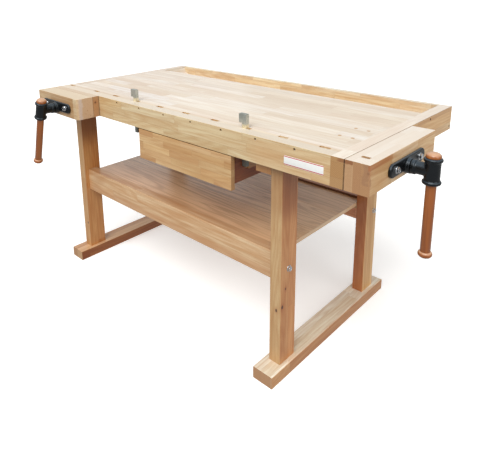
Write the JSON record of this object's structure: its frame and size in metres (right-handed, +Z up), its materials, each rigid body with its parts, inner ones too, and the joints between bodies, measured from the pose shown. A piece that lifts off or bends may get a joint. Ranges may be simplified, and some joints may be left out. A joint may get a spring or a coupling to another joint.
{
  "type": "woodworking bench",
  "caption": "Woodworking bench with a laminated top and tool tray, front and end vises with screw and sliding handle, bench dogs, a drawer, a shelf and sledge feet.",
  "frame": {"origin": "on the floor, under the middle of the whole bench's bounding box with both vises closed", "axes": "+X along the bench to the end vise, +Y from the front vise to the tool tray, +Z up"},
  "size_m": [1.7106, 0.9956, 0.908],
  "materials": {
    "beech_frame": "clear oil",
    "beech_top": "clear lacquer",
    "tray_panel": "clear lacquer",
    "beech_jaw": "clear lacquer",
    "beech_drawer": "clear oil",
    "drawer_panel": "plain veneer",
    "black_cast_iron": "black gloss paint",
    "bright_steel": "turned",
    "zinc_steel": "zinc plated",
    "beech_handle": "clear lacquer",
    "shelf_wood": "clear oil",
    "dog_steel": "black oxide with worn edges"
  },
  "bodies": {
    "bench": {"left_foot": "beech_frame", "right_foot": "beech_frame", "left_front_leg": "beech_frame", "left_rear_leg": "beech_frame", "right_front_leg": "beech_frame", "right_rear_leg": "beech_frame", "left_bearer": "beech_frame", "right_bearer": "beech_frame", "front_stretcher": "beech_frame", "rear_stretcher": "beech_frame", "shelf_ledges": "beech_frame", "stretcher_bolts": "zinc_steel", "barrel_nuts": "zinc_steel", "bearer_bolts": "zinc_steel", "lag_screws": "zinc_steel", "trim_screws": "zinc_steel", "vise_nut_screws": "zinc_steel", "main_top": "beech_top", "apron": "beech_top", "dog_hole_blocks": "beech_top", "beam_lamination": "beech_top", "left_end_cap": "beech_top", "right_end_cap": "beech_top", "back_rail": "beech_top", "tray_coves": "beech_top", "guide_block_dowels": "beech_top", "tray_floor": "tray_panel", "shelf_board_1": "shelf_wood", "shelf_board_2": "shelf_wood", "shelf_board_3": "shelf_wood", "front_vise_fixed_jaw": "beech_jaw", "front_vise_nut_plate": "black_cast_iron", "end_vise_nut_plate": "black_cast_iron", "end_vise_guide_block": "beech_top", "drawer_runners": "beech_drawer"},
    "front_vise_jaw": {"front_vise_jaw": "beech_jaw", "front_vise_flange": "black_cast_iron", "front_vise_flange_bolts": "zinc_steel", "front_vise_guide_rods": "bright_steel"},
    "front_vise_screw": {"front_vise_hub": "black_cast_iron", "front_vise_screw": "bright_steel"},
    "front_vise_handle": {"front_vise_handle": "beech_handle", "front_vise_handle_knob": "beech_handle"},
    "end_vise_jaw": {"end_vise_jaw": "beech_jaw", "end_vise_flange": "black_cast_iron", "end_vise_flange_bolts": "zinc_steel", "end_vise_guide_rods": "bright_steel"},
    "end_vise_screw": {"end_vise_hub": "black_cast_iron", "end_vise_screw": "bright_steel"},
    "end_vise_handle": {"end_vise_handle": "beech_handle", "end_vise_handle_knob": "beech_handle"},
    "drawer": {"drawer_face": "beech_drawer", "drawer_left_side": "beech_drawer", "drawer_right_side": "beech_drawer", "drawer_back": "beech_drawer", "drawer_bottom": "drawer_panel"},
    "left_dog": {"left_dog": "dog_steel", "left_dog_spring": "dog_steel"},
    "right_dog": {"right_dog": "dog_steel", "right_dog_spring": "dog_steel"}
  },
  "joints": [
    {"name": "front_vise_slide", "type": "slide", "parent": "bench", "child": "front_vise_jaw", "axis": [0, -1, 0], "range_m": [0, 0.15]},
    {"name": "front_vise_turn", "type": "hinge", "parent": "front_vise_jaw", "child": "front_vise_screw", "pos_m": [-0.69225, -0.39325, 0.803], "axis": [0, -1, 0], "range_deg": [0, 10800]},
    {"name": "front_vise_handle_slide", "type": "slide", "parent": "front_vise_screw", "child": "front_vise_handle", "axis": [0.3007, 0, 0.9537], "range_m": [0, 0.211]},
    {"name": "end_vise_slide", "type": "slide", "parent": "bench", "child": "end_vise_jaw", "axis": [1, 0, 0], "range_m": [0, 0.12]},
    {"name": "end_vise_turn", "type": "hinge", "parent": "end_vise_jaw", "child": "end_vise_screw", "pos_m": [0.75075, -0.06975, 0.803], "axis": [1, 0, 0], "range_deg": [0, 8640]},
    {"name": "end_vise_handle_slide", "type": "slide", "parent": "end_vise_screw", "child": "end_vise_handle", "axis": [0, 0, 1], "range_m": [0, 0.211]},
    {"name": "drawer_slide", "type": "slide", "parent": "bench", "child": "drawer", "axis": [0, -1, 0], "range_m": [0, 0.29]},
    {"name": "left_dog_slide", "type": "slide", "parent": "bench", "child": "left_dog", "axis": [0, 0, 1], "range_m": [-0.0165, 0.05]},
    {"name": "right_dog_slide", "type": "slide", "parent": "bench", "child": "right_dog", "axis": [0, 0, 1], "range_m": [-0.0165, 0.05]}
  ],
  "couplings": [
    {"joint": "front_vise_slide", "follows": "front_vise_turn", "m_per_rad": 0.00079577},
    {"joint": "end_vise_slide", "follows": "end_vise_turn", "m_per_rad": 0.00079577}
  ]
}
